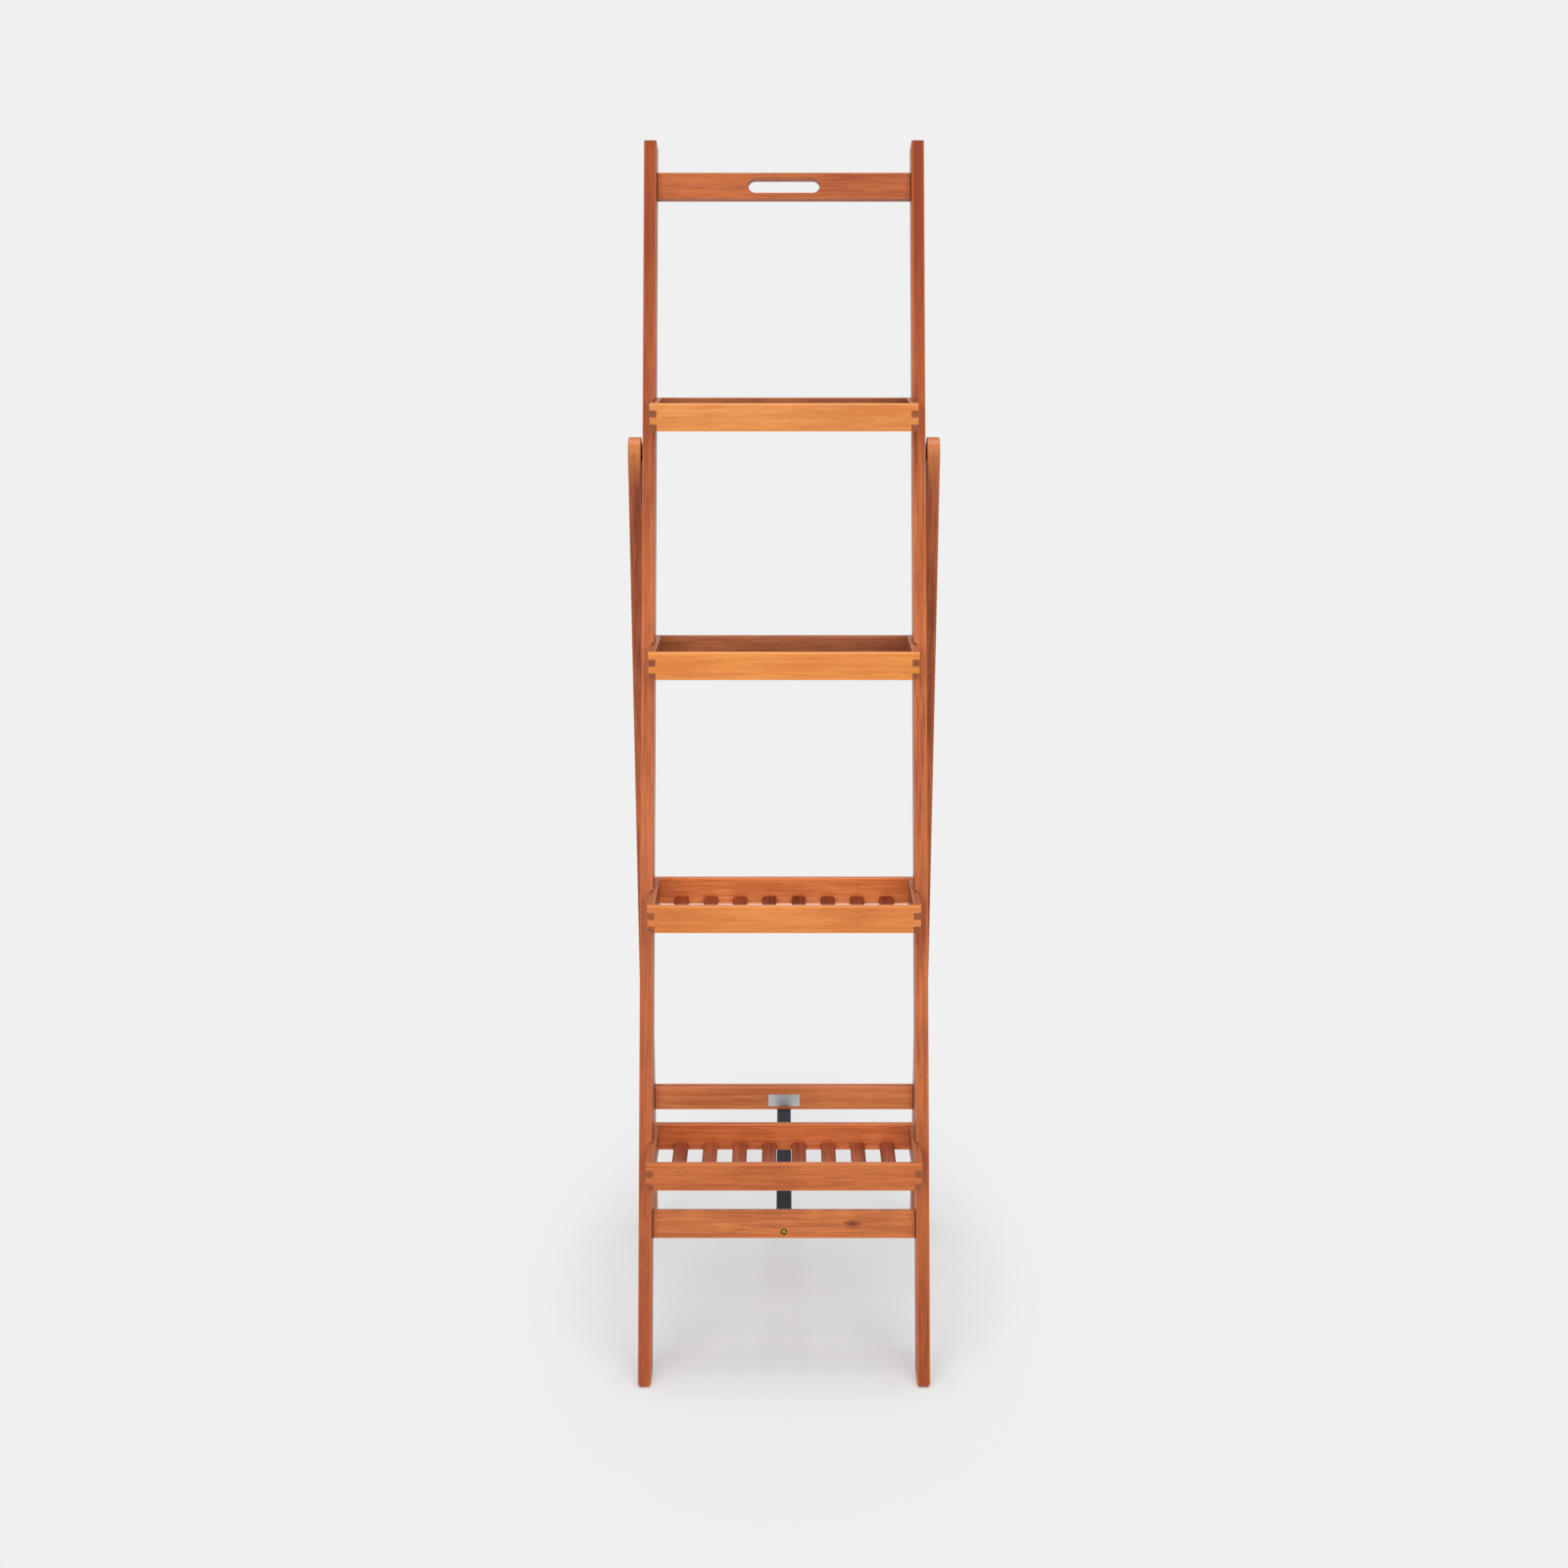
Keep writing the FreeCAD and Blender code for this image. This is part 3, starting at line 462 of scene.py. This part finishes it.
sides = ("left", "right")
dress([f"{side}_{part}" for side in sides for part in ("pivot_bolt", "sleeve_nut")], zinc)
dress(["strap_front_washer", "strap_screw", "strap_rear_washer"], zinc)
dress(["strap_bolt"], yellow_zinc)
dress(["strap_insert"], brass)
dress(["metal_plate"], aluminium)
dress([f"{side}_{end}_glide" for side in sides for end in ("front", "rear")], black_plastic)
dress([f"{side}_spacer" for side in sides], grey_plastic)
print("fittings dressed:", len(nodes) - len(boards) - 1)

# %% [markdown]
# The strap is dark polyester webbing, 20 mm wide, that stops the legs from opening too far. It starts on the
# back of the rear stretcher, turns under it, runs forward under tension and ends on the back of the front
# stretcher. Its middle line is a chain of straight runs with round bends, and the cloth is a thin flat tube
# with round selvedges swept along that line. The line's corners are given in millimetres behind and above
# the middle of each stretcher.

# %% Webbing strap
STRAP_WIDE = 20 * MM
STRAP_THICK = 1.5 * MM
BEND = 4 * MM
BEND_STEPS = 9
RUN_STEP = 4 * MM
SELVEDGE_STEPS = 7
REAR_BACK, REAR_FRONT = 8.05, -7.0
REAR_END, REAR_UNDER = 5.0, -19.05
FRONT_BACK = 7.75
FRONT_BEND, FRONT_END = -0.9, -19.5


def on_rail(name, tilt, depth, height):
    """Point in the YZ plane, so many millimetres behind and above a rail's middle, turned with its tilt."""
    middle = np.mean(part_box(name), axis=0)[1:]
    back = np.array([math.cos(tilt), -math.sin(tilt)])
    up = np.array([math.sin(tilt), math.cos(tilt)])
    return middle + (depth * back + height * up) * MM


def rounded_path(points, bend):
    """Chain of points, each corner replaced by a parabola that starts and ends at bend from the corner."""
    share = np.linspace(0.0, 1.0, BEND_STEPS)[:, None]
    runs = [points[:1]]
    for before, corner, after in zip(points[:-2], points[1:-1], points[2:]):
        start = corner + bend * (before - corner) / np.linalg.norm(before - corner)
        stop = corner + bend * (after - corner) / np.linalg.norm(after - corner)
        runs.append((1 - share) ** 2 * start + 2 * share * (1 - share) * corner + share ** 2 * stop)
    return np.concatenate(runs + [points[-1:]])


def even_steps(path, step):
    """The same path in nearly equal steps, with its length at each point to a micrometre."""
    length = np.concatenate([[0.0], np.cumsum(np.linalg.norm(np.diff(path, axis=0), axis=1))])
    marks = np.linspace(0.0, length[-1], int(length[-1] / step) + 1)
    marks = np.unique(np.concatenate([marks, length]).round(6))
    return np.stack([np.interp(marks, length, path[:, i]) for i in (0, 1)], axis=1), marks


def flat_tube(path, marks, width, thick):
    """Sweep a flat section with half-round edges along a YZ path; returns rows of points and cloth places."""
    turn = np.linspace(-np.pi / 2, np.pi / 2, SELVEDGE_STEPS)
    edge = np.stack([np.cos(turn), np.sin(turn)], axis=1) * thick / 2 + [(width - thick) / 2, 0.0]
    section = np.concatenate([edge, -edge])
    slope = np.gradient(path, axis=0)
    slope /= np.linalg.norm(slope, axis=1)[:, None]
    normal = np.stack([-slope[:, 1], slope[:, 0]], axis=1)
    points = np.zeros((len(path), len(section), 3))
    points[:, :, 0] = section[:, 0]
    points[:, :, 1:] = path[:, None] + normal[:, None] * section[None, :, 1, None]
    cloth = np.stack(np.broadcast_arrays(section[None, :, 0] + width, marks[:, None]), axis=-1)
    return points, cloth


def ribbon(name, points, cloth):
    """Closed piece of webbing from rows of points, with a map that counts metres of cloth."""
    grid = np.arange(points.shape[0] * points.shape[1]).reshape(points.shape[:2])
    ahead = np.roll(grid, -1, axis=1)
    quads = np.stack([grid[:-1], ahead[:-1], ahead[1:], grid[1:]], axis=-1).reshape(-1, 4)
    caps = [grid[0, ::-1].tolist(), grid[-1].tolist()]
    mesh = bpy.data.meshes.new(name)
    mesh.from_pydata(points.reshape(-1, 3).tolist(), [], quads.tolist() + caps)
    weave_map = mesh.uv_layers.new(name="weave")
    order = np.zeros(len(mesh.loops), dtype=int)
    mesh.loops.foreach_get("vertex_index", order)
    weave_map.data.foreach_set("uv", cloth.reshape(-1, 2)[order].ravel())
    piece = bpy.data.objects.new(name, mesh)
    scene.collection.objects.link(piece)
    return piece


corners = np.array([
    on_rail("rear_stretcher", -SPLAY, REAR_BACK, REAR_END),
    on_rail("rear_stretcher", -SPLAY, REAR_BACK, REAR_UNDER),
    on_rail("rear_stretcher", -SPLAY, REAR_FRONT, REAR_UNDER),
    on_rail("front_stretcher", LEAN, FRONT_BACK, FRONT_BEND),
    on_rail("front_stretcher", LEAN, FRONT_BACK, FRONT_END),
])
path, marks = even_steps(rounded_path(corners, BEND), RUN_STEP)
points, cloth = flat_tube(path, marks, STRAP_WIDE, STRAP_THICK)
print("strap length in mm:", round(marks[-1] / MM, 1), "sections:", len(points))

# %% [markdown]
# When the legs fold, each end of the strap stays on its stretcher and the run between them bends. The strap
# is made as a chain of five pieces, cut where the path has gone set shares of the way along the run from its
# front corner towards its rear one: near both ends, and at a quarter and three quarters of it.

# %% Strap in five pieces
TURN_CUTS = (0.94, 0.75, 0.25, 0.06)


run = corners[2] - corners[3]
turns = np.clip((path - corners[3]) @ run / (run @ run), 0.0, 1.0)
cuts = [0, *(int(np.argmin(np.abs(turns - cut))) for cut in TURN_CUTS), len(path) - 1]
straps = []
for rear, front in zip(cuts[:-1], cuts[1:]):
    piece = ribbon(f"webbing_strap_{len(straps) + 1}", points[rear:front + 1], cloth[rear:front + 1])
    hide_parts("strap")
    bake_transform(piece)
    straps.append(piece)
print("strap pieces:", len(straps), "cut at turns", np.round(turns[cuts[1:-1]], 3))

# %% [markdown]
# Webbing is woven with thick cross threads, so fine ribs run across it. The fibre is dull dark slate
# grey, and painted darker between the ribs, as painted shade in the grooves. The ribs follow the strap's own
# map, which counts metres along and across the cloth. Real ribs are about 1 mm apart, and are drawn a
# little coarser so that they show.

# %% Woven polyester
RIB_PITCH = 1.7 * MM
YARN_PITCH = 0.9 * MM
RIB_DEPTH = 0.25 * MM
YARN_SHARE = 0.35
# Painted shade in the grooves between the ribs
PAINTED_SHADE_BETWEEN_RIBS = "#1b1f23"
ON_RIBS = "#4b555f"
CLOTH_ROUGHNESS = 0.8
CLOTH_SHINE = 0.2

webbing, tree = new_material("woven dark polyester webbing")
weave = add_node(tree, "ShaderNodeUVMap", uv_map="weave")
metres = add_node(tree, "ShaderNodeSeparateXYZ", {0: weave.outputs[0]})
waves = []
for axis, pitch in (("Y", RIB_PITCH), ("X", YARN_PITCH)):
    phase = add_node(tree, "ShaderNodeMath", {0: metres.outputs[axis], 1: 2 * math.pi / pitch},
                     operation="MULTIPLY")
    waves.append(add_node(tree, "ShaderNodeMath", {0: phase.outputs[0]}, operation="SINE").outputs[0])
rib_wave, yarn_wave = waves
threads = add_node(tree, "ShaderNodeMath", {0: yarn_wave, 1: YARN_SHARE, 2: rib_wave},
                   operation="MULTIPLY_ADD")
height = add_node(tree, "ShaderNodeMapRange", {"Value": threads.outputs[0], "From Min": -1 - YARN_SHARE,
                                               "From Max": 1 + YARN_SHARE})
tone = add_node(tree, "ShaderNodeMix", {0: height.outputs[0], 6: linear(PAINTED_SHADE_BETWEEN_RIBS), 7: linear(ON_RIBS)},
                data_type="RGBA")
ribs = add_node(tree, "ShaderNodeBump", {"Height": height.outputs[0], "Distance": RIB_DEPTH})
surface(tree, add_node(tree, "ShaderNodeBsdfPrincipled", {
    "Base Color": tone.outputs[2], "Roughness": CLOTH_ROUGHNESS, "Normal": ribs.outputs[0],
    "Specular IOR Level": CLOTH_SHINE}))
for piece in straps:
    piece.data.materials.append(webbing)
dress(["strap"], webbing)
print("ribs along the strap:", round(marks[-1] / RIB_PITCH))
